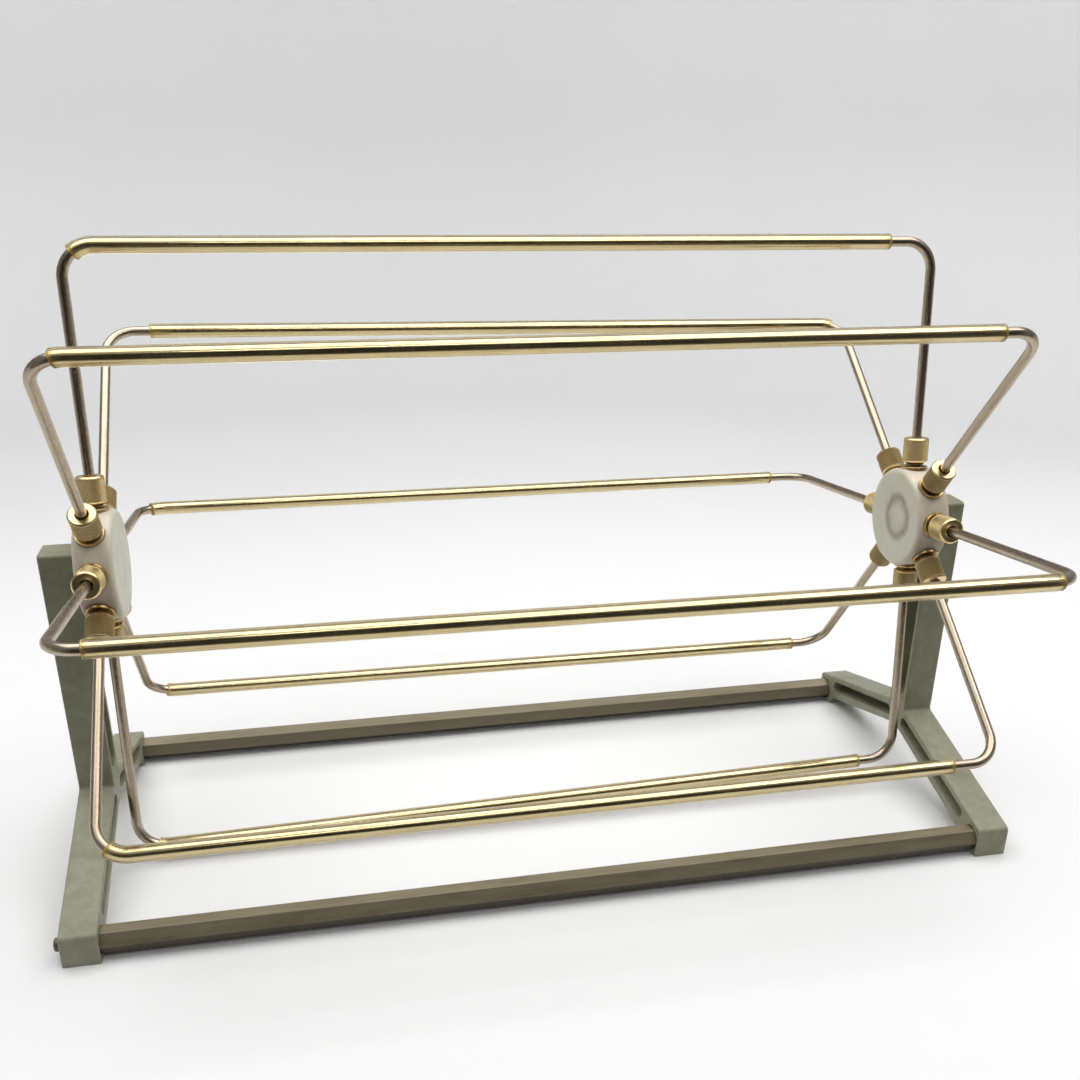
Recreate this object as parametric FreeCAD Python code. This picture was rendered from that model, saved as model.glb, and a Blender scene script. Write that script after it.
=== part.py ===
import FreeCAD, Part
import math
import os

# Tabletop winding reel: eight U-shaped rod arms clamped radially in two round
# hubs, turning about a horizontal axis between two inverted-Y stands that are
# tied together by two hexagonal bars.
# Frame: +X along the reel axis (right), +Y to the rear, +Z up, millimetres.
# The origin is on the table, midway between the stands, below the reel axis.
# The right-hand side is modelled and mirrored for the left.
# Suffixes: _D diameter, _R radius or distance from the reel axis, _T thickness,
# _H height, _L length, _IN/_OUT |x| of a face towards/away from the middle.

os.makedirs("parts", exist_ok=True)
Vector = FreeCAD.Vector
X_AXIS = Vector(1, 0, 0)
Z_AXIS = Vector(0, 0, 1)

# ------------------------------------------------------------ main dimensions
AXIS_H = 152.4          # reel axis above the table
CENTRE = Vector(0, 0, AXIS_H)
LEG_PLANE = 203.2       # |x| of the plane that holds the arm legs
N_ARMS = 8
ARMS = range(1, N_ARMS + 1)
REST_ANGLE = -7.1       # degrees about +X from upright to arm 1: it leans to the rear

ROD_D = 4.76            # arm rod
ROD_BORE_D = ROD_D + 0.10
PIN_D = 8.0             # axle pin
RUNNING_GAP = 0.10      # on the diameter, between the pin and what turns on it
SNUG = 0.02             # radial gap of a close fit
TOL = 1e-4              # for matching edge positions


# -------------------------------------------------------------------- helpers
def save(name, shape, count=1):
    """Write one part file; the shape must hold exactly count valid solids."""
    solids = shape.Solids
    if len(solids) != count or not all(s.isValid() and s.Volume > 0 for s in solids):
        raise RuntimeError("%s: %d solids, valid %s"
                           % (name, len(solids), [s.isValid() for s in solids]))
    part = solids[0] if count == 1 else shape
    part.exportStep("parts/%s.step" % name)


def cylinder_x(x_start, x_end, radius, y=0.0, z=AXIS_H):
    """Cylinder along +X, on the reel axis unless y and z are given."""
    return Part.makeCylinder(radius, x_end - x_start, Vector(x_start, y, z), X_AXIS)


def polygon_face(points):
    return Part.Face(Part.makePolygon(points + [points[0]]))


def circle_edges(shape):
    return [e for e in shape.Edges if isinstance(e.Curve, Part.Circle)]


def turn_to_arm(shape, i):
    """A copy of a shape modelled upright over the reel axis, turned to arm i."""
    turned = shape.copy()
    turned.rotate(CENTRE, X_AXIS, REST_ANGLE + 360.0 / N_ARMS * (i - 1))
    return turned


def mirrored(shape):
    return shape.mirror(Vector(0, 0, 0), X_AXIS)


# ------------------------------------------------------------- arms and tubes
BEND_R = 14.0           # centreline radius of the rod bends
LEG_END_R = 18.0        # where each leg ends inside its hub
SLEEVE_OD = 7.3         # plastic tube over the crossbar
SLEEVE_ID = 4.90
MIN_BEND_REACH = 0.3    # a tube end less far past the straight is not bent

# arm: (crossbar centreline radius at its left and right corner,
#       x of the left and right tube end; past the straight it follows the bend)
ARM_TABLE = {
    1: (139.2, 136.8, -198.0, 180.0),
    2: (138.3, 137.3, -193.0, 184.0),
    3: (135.8, 142.6, -189.0, 192.0),
    4: (140.5, 139.7, -198.0, 179.0),
    5: (145.4, 137.4, -194.0, 183.0),
    6: (135.3, 140.2, -194.0, 184.0),
    7: (142.6, 139.6, -197.0, 182.0),
    8: (142.2, 134.4, -181.5, 195.5),
}


def bend_at(before, corner, after):
    """Start, middle, end and centre of the rod bend at a corner."""
    to_before = (before - corner).normalize()
    to_after = (after - corner).normalize()
    half_angle = to_before.getAngle(to_after) / 2
    setback = BEND_R / math.tan(half_angle)
    bisector = (to_before + to_after).normalize()
    centre = corner + bisector * (BEND_R / math.sin(half_angle))
    return (corner + to_before * setback, centre - bisector * BEND_R,
            corner + to_after * setback, centre)


def arm_path(i):
    """The four corner points of an arm and its left and right bends."""
    left_r, right_r = ARM_TABLE[i][:2]
    points = [Vector(-LEG_PLANE, 0, AXIS_H + LEG_END_R), Vector(-LEG_PLANE, 0, AXIS_H + left_r),
              Vector(LEG_PLANE, 0, AXIS_H + right_r), Vector(LEG_PLANE, 0, AXIS_H + LEG_END_R)]
    return points, bend_at(*points[:3]), bend_at(*points[1:])


def sweep_circle(edges, radius, start, direction):
    ring = Part.Wire([Part.makeCircle(radius, start, direction)])
    return Part.Wire(edges).makePipeShell([ring], True, False)


def make_rod(i):
    points, left_bend, right_bend = arm_path(i)
    edges = [Part.makeLine(points[0], left_bend[0]),
             Part.Arc(*left_bend[:3]).toShape(),
             Part.makeLine(left_bend[2], right_bend[0]),
             Part.Arc(*right_bend[:3]).toShape(),
             Part.makeLine(right_bend[2], points[3])]
    return sweep_circle(edges, ROD_D / 2, points[0], Z_AXIS)


def swing_about(centre, point, angle):
    """The point turned about centre by angle (radians, about +Y)."""
    arm = point - centre
    cos, sin = math.cos(angle), math.sin(angle)
    return centre + Vector(arm.x * cos + arm.z * sin, 0, -arm.x * sin + arm.z * cos)


def follow_bend(centre, joint, x_end):
    """Middle and end of the tube's run from the joint round a bend to x_end."""
    angle = math.asin((x_end - joint.x) / BEND_R)
    return swing_about(centre, joint, angle / 2), swing_about(centre, joint, angle)


def make_sleeve(i):
    points, left_bend, right_bend = arm_path(i)
    left_joint, left_centre = left_bend[2:]
    right_joint, right_centre = right_bend[0], right_bend[3]
    x_left, x_right = ARM_TABLE[i][2:]
    along = (points[2] - points[1]).normalize()

    def on_crossbar(x):
        return left_joint + along * ((x - left_joint.x) / along.x)

    edges = []
    if x_left < left_joint.x - MIN_BEND_REACH:
        middle, start = follow_bend(left_centre, left_joint, x_left)
        edges.append(Part.Arc(start, middle, left_joint).toShape())
        outward = (start - left_centre).normalize()
        direction = Vector(outward.z, 0, -outward.x)
        straight_start = left_joint
    else:
        start = straight_start = on_crossbar(x_left)
        direction = along
    if x_right > right_joint.x + MIN_BEND_REACH:
        middle, end = follow_bend(right_centre, right_joint, x_right)
        edges.append(Part.makeLine(straight_start, right_joint))
        edges.append(Part.Arc(right_joint, middle, end).toShape())
    else:
        edges.append(Part.makeLine(straight_start, on_crossbar(x_right)))
    outer = sweep_circle(edges, SLEEVE_OD / 2, start, direction)
    inner = sweep_circle(edges, SLEEVE_ID / 2, start, direction)
    return outer.cut(inner)


for i in ARMS:
    save("arm_%d_rod" % i, turn_to_arm(make_rod(i), i))
    save("arm_%d_sleeve" % i, turn_to_arm(make_sleeve(i), i))

# ----------------------------------------------------------------------- hubs
HUB_D = 50.8
HUB_IN = 193.8
HUB_OUT = 211.1
HUB_RIM_ROUND = 1.6
HUB_BORE_L = 12.6       # blind axle bore, open towards the stand
SHANK_D = 8.0           # clamp body shank in the hub
SHANK_IN_R = 13.0
FLANGE_D = 13.2         # clamp body flange on its flat seat
SEAT_R = 25.0
SEAT_D = FLANGE_D + 0.2
TIP_HOLE_IN_R = 11.0    # narrow bottom of each radial hole


def make_hub():
    hub = cylinder_x(HUB_IN, HUB_OUT, HUB_D / 2)
    hub = hub.makeFillet(HUB_RIM_ROUND, circle_edges(hub))
    hub = hub.cut(cylinder_x(HUB_OUT - HUB_BORE_L, HUB_OUT + 1, (PIN_D + RUNNING_GAP) / 2))
    # radius, length and inner end of the shank hole, its bottom and the seat
    cuts = [(SHANK_D / 2 + SNUG, 30, SHANK_IN_R - 0.1),
            (ROD_BORE_D / 2 + 0.1, 10, TIP_HOLE_IN_R),
            (SEAT_D / 2, 10, SEAT_R)]
    tools = [Part.makeCylinder(radius, length, Vector(LEG_PLANE, 0, AXIS_H + inner_end))
             for radius, length, inner_end in cuts]
    for i in ARMS:
        for tool in tools:
            hub = hub.cut(turn_to_arm(tool, i))
    return hub


hub = make_hub()
save("right_hub", hub)
save("left_hub", mirrored(hub))

# ----------------------------------------- clamp bodies, grip rings and nuts
EDGE_BREAK = 0.3        # small chamfer shared by flange, grip ring and nut mouth
SHANK_CHAMFER = 0.4
FLANGE_T = 1.6
STUB_D = 9.2            # stub under the nut
STUB_TOP_R = 37.0
STUB_CHAMFER = 0.6
NECK_CUT = 0.5          # radial depth of the neck between flange and stub
NECK_H = 1.2            # its straight part above the flange
NECK_TAPER_H = 1.6      # where its taper reaches the full stub
FLARE_W, FLARE_H = 0.7, 0.9     # flare at the outer end of the rod bore
GRIP_OD = 9.0
GRIP_END_GAP = 0.05
NUT_D = 12.7
NUT_IN_R = 28.7
NUT_OUT_R = 41.1
NUT_BORE_D = STUB_D + 0.1
NUT_MOUTH_D = 5.8
NUT_SHOULDER_R = 38.6
NUT_EDGE = 0.8          # outside chamfers
NUT_BORE_CHAMFER = 0.5


def revolve_on_leg(outline, x):
    """Revolve a closed outline about the upright line through (x, 0).
    Outline columns: radius from that line, distance from the reel axis."""
    face = polygon_face([Vector(x + radius, 0, AXIS_H + height) for radius, height in outline])
    return face.revolve(Vector(x, 0, AXIS_H), Z_AXIS, 360)


def clamp_body(x):
    bore, shank, flange, stub = ROD_BORE_D / 2, SHANK_D / 2, FLANGE_D / 2, STUB_D / 2
    flange_top = SEAT_R + FLANGE_T
    return revolve_on_leg([
        (bore, SHANK_IN_R),
        (shank - SHANK_CHAMFER, SHANK_IN_R),
        (shank, SHANK_IN_R + SHANK_CHAMFER),
        (shank, SEAT_R),
        (flange, SEAT_R),
        (flange, flange_top - EDGE_BREAK),
        (flange - EDGE_BREAK, flange_top),
        (stub - NECK_CUT, flange_top),
        (stub - NECK_CUT, flange_top + NECK_H),
        (stub, flange_top + NECK_TAPER_H),
        (stub, STUB_TOP_R - STUB_CHAMFER),
        (stub - STUB_CHAMFER, STUB_TOP_R),
        (bore + FLARE_W, STUB_TOP_R),
        (bore, STUB_TOP_R - FLARE_H),
    ], x)


def grip_ring(x):
    """Ring round the rod, between the stub and the shoulder in the nut."""
    bore, outer = ROD_BORE_D / 2, GRIP_OD / 2
    bottom, top = STUB_TOP_R + GRIP_END_GAP, NUT_SHOULDER_R - GRIP_END_GAP
    return revolve_on_leg([
        (bore, bottom),
        (outer - EDGE_BREAK, bottom),
        (outer, bottom + EDGE_BREAK),
        (outer, top - EDGE_BREAK),
        (outer - EDGE_BREAK, top),
        (bore, top),
    ], x)


def clamp_nut(x):
    outer, mouth, bore = NUT_D / 2, NUT_MOUTH_D / 2, NUT_BORE_D / 2
    return revolve_on_leg([
        (bore, NUT_IN_R + NUT_BORE_CHAMFER),
        (bore + NUT_BORE_CHAMFER, NUT_IN_R),
        (outer - NUT_EDGE, NUT_IN_R),
        (outer, NUT_IN_R + NUT_EDGE),
        (outer, NUT_OUT_R - NUT_EDGE),
        (outer - NUT_EDGE, NUT_OUT_R),
        (mouth + EDGE_BREAK, NUT_OUT_R),
        (mouth, NUT_OUT_R - EDGE_BREAK),
        (mouth, NUT_SHOULDER_R),
        (bore, NUT_SHOULDER_R),
    ], x)


for side, x in (("left", -LEG_PLANE), ("right", LEG_PLANE)):
    body, ring, nut = clamp_body(x), grip_ring(x), clamp_nut(x)
    bodies = Part.makeCompound([turn_to_arm(body, i) for i in ARMS])
    save(side + "_clamp_bodies", bodies, N_ARMS)
    for i in ARMS:
        save("%s_grip_ring_%d" % (side, i), turn_to_arm(ring, i))
        save("%s_nut_%d" % (side, i), turn_to_arm(nut, i))

# --------------------------------------------------------------------- stands
STAND_IN = 212.2
STAND_T = 16.6
STAND_OUT = STAND_IN + STAND_T
FOOT_Y = 94.6           # half depth of a stand
FOOT_H = 15.2
FOOT_PAD_Y = 80.0       # inner edge of the foot pad on the table
PAD_STEP_Y = FOOT_PAD_Y - 2.0   # where the pad's inner side meets the underside
UPRIGHT_Y = 8.4         # half width of the upright
UPRIGHT_TOP = 161.2
JUNCTION_Z = 39.6       # where the upright runs into the legs
APEX_Z = 27.7           # where the two underside slopes would meet
UNDER_SLOPE = 0.295
LEVEL_Y = 6.0           # half width of the level middle of the underside
STAND_EDGE = 0.9        # rounding of the face outlines

POCKET_DEPTH = 11.0     # pockets are cut in from the face towards the reel
SLOT_R = 3.2            # pocket along each leg
SLOT_INNER = (9.6, 32.0)    # y, z of its end centres
SLOT_OUTER = (73.6, 14.4)
WINDOW_R = 5.5          # pocket in the upright
WINDOW_Z = (46.5, 133.0)    # its bottom and top

BAR_Y = 87.1            # tie bar and screw centres
BAR_Z = FOOT_H / 2
SOCKET_R = 6.5          # round socket in the foot for the bar's end
SOCKET_DEPTH = 3.0
SCREW_D = 4.0


def underside_z(y):
    return APEX_Z - UNDER_SLOPE * y


def pocket_tool(start, end, radius):
    """Round-ended pocket between two (y, z) centres."""
    x_start, x_end = STAND_IN - 1, STAND_IN + POCKET_DEPTH
    run_y, run_z = end[0] - start[0], end[1] - start[1]
    length = math.hypot(run_y, run_z)
    across = Vector(0, -run_z / length * radius, run_y / length * radius)
    first, last = Vector(x_start, *start), Vector(x_start, *end)
    face = polygon_face([first + across, last + across, last - across, first - across])
    tool = face.extrude(Vector(x_end - x_start, 0, 0))
    for y, z in (start, end):
        tool = tool.fuse(cylinder_x(x_start, x_end, radius, y, z))
    return tool.removeSplitter()


def cross_edges(shape, y, z):
    """Edges through the thickness at (y, z) and (-y, z)."""
    return [e for e in shape.Edges if len(e.Vertexes) == 2
            and abs(e.Vertexes[0].X - e.Vertexes[1].X) > 1
            and all(abs(abs(v.Y) - y) < TOL and abs(v.Z - z) < TOL for v in e.Vertexes)]


def outline_edges(shape):
    """Edges of both faces, except along the table."""
    return [e for e in shape.Edges
            if any(all(abs(v.X - x) < TOL for v in e.Vertexes) for x in (STAND_IN, STAND_OUT))
            and max(v.Z for v in e.Vertexes) > 1e-3]


def make_stand():
    upright_top = (UPRIGHT_Y, UPRIGHT_TOP)
    junction = (UPRIGHT_Y, JUNCTION_Z)
    foot_top = (FOOT_Y, FOOT_H)
    pad_step = (PAD_STEP_Y, underside_z(PAD_STEP_Y))
    level_end = (LEVEL_Y, underside_z(LEVEL_Y))
    half = [upright_top, junction, foot_top, (FOOT_Y, 0.0), (FOOT_PAD_Y, 0.0),
            pad_step, level_end]
    outline = half + [(-y, z) for y, z in reversed(half)]
    face = polygon_face([Vector(STAND_IN, y, z) for y, z in outline])
    stand = face.extrude(Vector(STAND_T, 0, 0))
    for radius, corner in ((8.0, level_end), (2.2, foot_top), (3.0, pad_step),
                           (2.1, upright_top), (2.0, junction)):
        stand = stand.makeFillet(radius, cross_edges(stand, *corner))
    stand = stand.makeFillet(STAND_EDGE, outline_edges(stand))
    for s in (-1, 1):
        y = s * BAR_Y
        stand = stand.cut(pocket_tool((s * SLOT_INNER[0], SLOT_INNER[1]),
                                      (s * SLOT_OUTER[0], SLOT_OUTER[1]), SLOT_R))
        stand = stand.cut(cylinder_x(STAND_IN - 1, STAND_IN + SOCKET_DEPTH, SOCKET_R, y, BAR_Z))
        stand = stand.cut(cylinder_x(STAND_IN - 2, STAND_OUT + 2, SCREW_D / 2 + 0.15, y, BAR_Z))
    stand = stand.cut(pocket_tool((0, WINDOW_Z[0] + WINDOW_R), (0, WINDOW_Z[1] - WINDOW_R),
                                  WINDOW_R))
    return stand.cut(cylinder_x(STAND_IN - 2, STAND_OUT + 2, PIN_D / 2 + SNUG))


stand = make_stand()
save("right_stand", stand)
save("left_stand", mirrored(stand))

# -------------------------------------------------------- tie bars and screws
BAR_FLATS = 11.11       # across flats
BAR_END = STAND_IN + SOCKET_DEPTH
BAR_HOLE_L = 13.0       # screw hole in each end
SCREW_L = 24.0          # under the head
SCREW_CHAMFER = 0.5
HEAD_D, HEAD_H = 6.2, 3.2
HEAD_ROUND = 1.0
KEY_FLATS = 2.5         # hexagon recess in the head
KEY_DEPTH = 1.6


def hexagon_prism(across_flats, x, y, length):
    """Flat-topped hexagon at bar height, extruded along X."""
    corner_r = across_flats / math.sqrt(3)
    angles = [math.radians(60 * k) for k in range(6)]
    face = polygon_face([Vector(x, y + corner_r * math.cos(a), BAR_Z + corner_r * math.sin(a))
                         for a in angles])
    return face.extrude(Vector(length, 0, 0))


def make_bar(y, turn):
    """Tie bar at y, turned by degrees about its axis from flat side up."""
    bar = hexagon_prism(BAR_FLATS, -BAR_END, y, 2 * BAR_END)
    bar.rotate(Vector(0, y, BAR_Z), X_AXIS, turn)
    for s in (-1, 1):
        bar = bar.cut(Part.makeCylinder(SCREW_D / 2 + 0.03, BAR_HOLE_L + 1,
                                        Vector(s * (BAR_END + 1), y, BAR_Z), Vector(-s, 0, 0)))
    return bar


def make_screw(side, y):
    x = side * STAND_OUT
    seat = Vector(x, y, BAR_Z)

    def far_circles(shape):
        return [e for e in circle_edges(shape) if abs(e.Vertexes[0].X - x) > 1]

    head = Part.makeCylinder(HEAD_D / 2, HEAD_H, seat, Vector(side, 0, 0))
    head = head.makeFillet(HEAD_ROUND, far_circles(head))
    key = hexagon_prism(KEY_FLATS, x + side * (HEAD_H - KEY_DEPTH), y, side * 3)
    shank = Part.makeCylinder(SCREW_D / 2, SCREW_L, seat, Vector(-side, 0, 0))
    shank = shank.makeChamfer(SCREW_CHAMFER, far_circles(shank))
    return head.cut(key).fuse(shank).removeSplitter().Solids[0]


save("front_tie_bar", make_bar(-BAR_Y, 0.0))
save("rear_tie_bar", make_bar(BAR_Y, 20.0))
screws = [make_screw(side, y) for side in (-1, 1) for y in (-BAR_Y, BAR_Y)]
save("tie_bar_screws", Part.makeCompound(screws), 4)

# ------------------------------------------------------- axle pins and washers
PIN_IN = 199.1          # inner end, inside the hub bore
PIN_SUNK = 0.3          # outer end below the stand's outer face
PIN_CHAMFER = 0.6
WASHER_OD, WASHER_T = 15.0, 1.0


def make_pin():
    pin = cylinder_x(PIN_IN, STAND_OUT - PIN_SUNK, PIN_D / 2)
    return pin.makeChamfer(PIN_CHAMFER, circle_edges(pin)).Solids[0]


def make_washer():
    """Thrust washer midway between hub and stand."""
    x = (HUB_OUT + STAND_IN - WASHER_T) / 2
    bore = cylinder_x(HUB_OUT - 1, STAND_IN + 1, (PIN_D + RUNNING_GAP) / 2)
    return cylinder_x(x, x + WASHER_T, WASHER_OD / 2).cut(bore)


for name, part in (("axle_pins", make_pin()), ("thrust_washers", make_washer())):
    save(name, Part.makeCompound([mirrored(part), part]), 2)
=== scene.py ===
"""A reel of eight bent-rod arms in amber tubing, turning between two flat stands on tie bars.

The reel axis runs along X, AXIS_H above the table at z = 0.  Left is -X and front is -Y.
Shapes are worked out in millimetres and become metres in make_mesh and the matrices.
"""
import math

import bmesh
import bpy
import numpy as np
from mathutils import Matrix, Vector


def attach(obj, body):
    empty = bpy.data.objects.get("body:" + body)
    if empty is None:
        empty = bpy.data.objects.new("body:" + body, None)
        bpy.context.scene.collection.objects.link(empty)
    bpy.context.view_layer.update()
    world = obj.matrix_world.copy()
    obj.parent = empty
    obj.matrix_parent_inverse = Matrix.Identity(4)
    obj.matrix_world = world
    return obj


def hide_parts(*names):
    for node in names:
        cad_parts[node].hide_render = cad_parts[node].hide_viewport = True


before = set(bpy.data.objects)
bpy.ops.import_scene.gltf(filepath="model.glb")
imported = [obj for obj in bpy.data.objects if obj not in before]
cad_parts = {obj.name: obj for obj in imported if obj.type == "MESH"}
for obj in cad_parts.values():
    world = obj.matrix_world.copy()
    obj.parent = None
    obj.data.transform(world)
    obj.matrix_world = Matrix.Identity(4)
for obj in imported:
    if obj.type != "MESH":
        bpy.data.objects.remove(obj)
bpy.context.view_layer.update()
scene = bpy.context.scene

# ------------------------------------------------------------ shared dimensions (mm)
MM = 0.001                  # metres in a millimetre
AXIS_H = 152.4              # reel axis above the table
LEG_PLANE = 203.2           # arm legs from the middle of the reel
REST_ANGLE = -7.1           # degrees of arm 1 from upright, positive towards the front
ROD_R = 2.38
BEND_R = 14.0               # centre line of the rod's two bends
LEG_END_R = 18.0            # ends of the legs from the reel axis
SLEEVE_OUTER_R, SLEEVE_INNER_R = 3.65, 2.33     # the tubing overlaps the rod, so no gap shows
HUB_R, HUB_IN, HUB_OUT = 25.4, 193.8, 211.1
STAND_IN, STAND_T = 212.2, 16.6
STAND_OUT = STAND_IN + STAND_T
BAR_Y, BAR_Z = 87.1, 7.6    # tie bar centres
SOCKET_DEPTH = 3.0          # how far a tie bar enters the stand
PIN_HOLE_R = 4.05

# arm: distance of its span from the reel axis at left and right, x of the tubing's two ends
ARMS = {
    1: (139.2, 136.8, -198.0, 180.0), 2: (138.3, 137.3, -193.0, 184.0),
    3: (135.8, 142.6, -189.0, 192.0), 4: (140.5, 139.7, -198.0, 179.0),
    5: (145.4, 137.4, -194.0, 183.0), 6: (135.3, 140.2, -194.0, 184.0),
    7: (142.6, 139.6, -197.0, 182.0), 8: (142.2, 134.4, -181.5, 195.5)}


def spread(*seeds):
    """A fixed number between 0 and 1 for each set of seeds."""
    v = math.sin(sum(s * k for s, k in zip(seeds, (12.9898, 78.233, 37.719)))) * 43758.5453
    return v - math.floor(v)


# ------------------------------------------------------------------- outline helpers
def triangle(t):
    """Triangle wave: 0 at whole t, 1 half way between."""
    t -= math.floor(t)
    return 1 - abs(2 * t - 1)


def circle(count, radius, height):
    angles = (2 * math.pi * k / count for k in range(count))
    return [(radius * math.cos(a), radius * math.sin(a), height) for a in angles]


def unit(vector):
    return vector / np.linalg.norm(vector)


def round_corner(before, corner, after, radius):
    """Centre, start, end and signed sweep of the arc that rounds a corner."""
    a, b = unit(before - corner), unit(after - corner)
    half = math.acos(max(-1, min(1, float(a @ b)))) / 2
    reach = radius / math.tan(half)
    centre = corner + unit(a + b) * radius / math.sin(half)
    start, end = corner + a * reach, corner + b * reach
    s, e = start - centre, end - centre
    return centre, start, end, math.atan2(s[0] * e[1] - s[1] * e[0], float(s @ e))


def arc_points(centre, start, sweep, steps):
    x, y = start - centre
    points = []
    for k in range(steps + 1):
        a = sweep * k / steps
        turned = (x * math.cos(a) - y * math.sin(a), x * math.sin(a) + y * math.cos(a))
        points.append(centre + np.array(turned))
    return points


def round_profile(profile, steps):
    """Round the corners of (radius, height) points that carry a third number, the rounding."""
    out = []
    for k, (r, h, *rounding) in enumerate(profile):
        if not rounding:
            out.append((r, h))
            continue
        before, corner, after = (np.array(profile[k + j][:2], float) for j in (-1, 0, 1))
        centre, start, _, sweep = round_corner(before, corner, after, rounding[0])
        out += arc_points(centre, start, sweep, steps)
    return out


# ---------------------------------------------------------------------- mesh helpers
def grid_faces(rows, cols, close_rows=False, offset=0, flip=False):
    """Quads between rows of points; each row is a closed ring."""
    faces = []
    for r in range(rows if close_rows else rows - 1):
        r2 = (r + 1) % rows
        for c in range(cols):
            c2 = (c + 1) % cols
            face = tuple(offset + k for k in (
                r * cols + c, r * cols + c2, r2 * cols + c2, r2 * cols + c))
            faces.append(face[::-1] if flip else face)
    return faces


def capped_faces(rows, cols, flip=False):
    """grid_faces with one flat face over each end."""
    first, last = tuple(range(cols)), tuple(range((rows - 1) * cols, rows * cols))
    caps = [first, last[::-1]] if flip else [first[::-1], last]
    return grid_faces(rows, cols, flip=flip) + caps


def lathe(profile, count, closed=False):
    """Points and faces of (radius, height) pairs turned about local +Z.
    A radius of 0 becomes one pole point.  With closed, the profile's end joins its start."""
    points, faces, rings = [], [], []
    for r, h in profile:
        ring = [(0.0, 0.0, h)] if r <= 1e-9 else circle(count, r, h)
        rings.append(range(len(points), len(points) + len(ring)))
        points += ring
    pairs = list(zip(rings, rings[1:])) + ([(rings[-1], rings[0])] if closed else [])
    for a, b in pairs:
        for k in range(count):
            k2 = (k + 1) % count
            if len(a) == 1:
                faces.append((a[0], b[k2], b[k]))
            elif len(b) == 1:
                faces.append((a[k], a[k2], b[0]))
            else:
                faces.append((a[k], a[k2], b[k2], b[k]))
    return points, faces


def add_attributes(mesh, flow, mask=None):
    """flow: the point in mm that the textures read; mask: 0 to 1, its meaning set per material."""
    flow = np.asarray(flow, np.float32).reshape(-1, 3)
    mask = np.zeros(len(flow), np.float32) if mask is None else np.asarray(mask, np.float32)
    found = mesh.attributes
    flows = found.get("flow") or found.new("flow", "FLOAT_VECTOR", "POINT")
    flows.data.foreach_set("vector", flow.ravel())
    masks = found.get("mask") or found.new("mask", "FLOAT", "POINT")
    masks.data.foreach_set("value", mask)


def shade_smooth(mesh, sharp_deg):
    mesh.polygons.foreach_set("use_smooth", [True] * len(mesh.polygons))
    mesh.set_sharp_from_angle(angle=math.radians(sharp_deg))


def make_mesh(name, points_mm, faces, sharp_deg=None, flow=None, mask=None, flat_count=0):
    """A closed mesh facing outwards, flat shaded without sharp_deg.
    The first flat_count faces stay flat on a smooth mesh."""
    points = np.asarray(points_mm, float).reshape(-1, 3)
    mesh = bpy.data.meshes.new(name)
    mesh.from_pydata((points * MM).tolist(), [], faces)
    mesh.update()
    add_attributes(mesh, points if flow is None else flow, mask)
    if sharp_deg is not None:
        shade_smooth(mesh, sharp_deg)
        if flat_count:
            smooth = np.arange(len(mesh.polygons)) >= flat_count
            mesh.polygons.foreach_set("use_smooth", smooth.tolist())
    mesh.update()
    bm = bmesh.new()
    bm.from_mesh(mesh)
    bmesh.ops.recalc_face_normals(bm, faces=bm.faces[:])
    bm.to_mesh(mesh)
    bm.free()
    mesh.update()
    return mesh


def loft(layers, name="loft", sharp_deg=None):
    """A closed solid from (x, outline of (y, z) points) layers that have equal counts."""
    points = [(x, p[0], p[1]) for x, outline in layers for p in outline]
    return make_mesh(name, points, capped_faces(len(layers), len(layers[0][1])), sharp_deg)


def plain_rows(rings, count):
    """Rows of (points, masks) from (radius, height, mask) rings."""
    return [(circle(count, r, h), [m] * count) for r, h, m in rings]


def join_rows(rows):
    points = [p for row, _ in rows for p in row]
    return points, [m for _, masks in rows for m in masks]


def thread_rows(count, h0, h1, radius, depth, pitch, per_pitch, start_fade, end_fade):
    """Rows of a helical thread from height h0 to h1, faded in and out over short lengths."""
    steps = int(round((h1 - h0) / pitch * per_pitch))
    rows = []
    for j in range(steps + 1):
        h = h0 + (h1 - h0) * j / steps
        fade = max(0.0, min(1.0, (h - h0) / start_fade, (h1 - h) / end_fade))
        points, masks = [], []
        for k in range(count):
            # the wave is cut off above and below, for flat crests and roots
            valley = min(1.0, max(0.0, triangle(h / pitch - k / count) * 1.25 - 0.12))
            r = radius - depth * valley * fade
            a = 2 * math.pi * k / count
            points.append((r * math.cos(a), r * math.sin(a), h))
            masks.append(0.25 + 0.6 * valley * fade)
        rows.append((points, masks))
    return rows


def carve(base, tools, flow_origin, sharp_deg):
    """The base mesh with every tool mesh cut away; flow is measured from flow_origin."""
    ob = bpy.data.objects.new("tmp_base", base)
    scene.collection.objects.link(ob)
    temporary = [ob]
    for k, tool in enumerate(tools):
        cutter = bpy.data.objects.new("tmp_tool_%d" % k, tool)
        scene.collection.objects.link(cutter)
        cut = ob.modifiers.new("cut_%d" % k, "BOOLEAN")
        cut.operation = "DIFFERENCE"
        cut.object = cutter
        cut.solver = "EXACT"
        temporary.append(cutter)
    bpy.context.view_layer.update()
    depsgraph = bpy.context.evaluated_depsgraph_get()
    mesh = bpy.data.meshes.new_from_object(ob.evaluated_get(depsgraph), depsgraph=depsgraph)
    for extra in temporary:
        bpy.data.objects.remove(extra)
    for tool in tools:
        bpy.data.meshes.remove(tool)
    add_attributes(mesh, np.array([v.co for v in mesh.vertices]) / MM - np.array(flow_origin))
    shade_smooth(mesh, sharp_deg)
    return mesh


def mirrored(mesh):
    """A copy mirrored from right to left."""
    copy = mesh.copy()
    copy.transform(Matrix.Scale(-1, 4, (1, 0, 0)))
    copy.flip_normals()
    return copy


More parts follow.
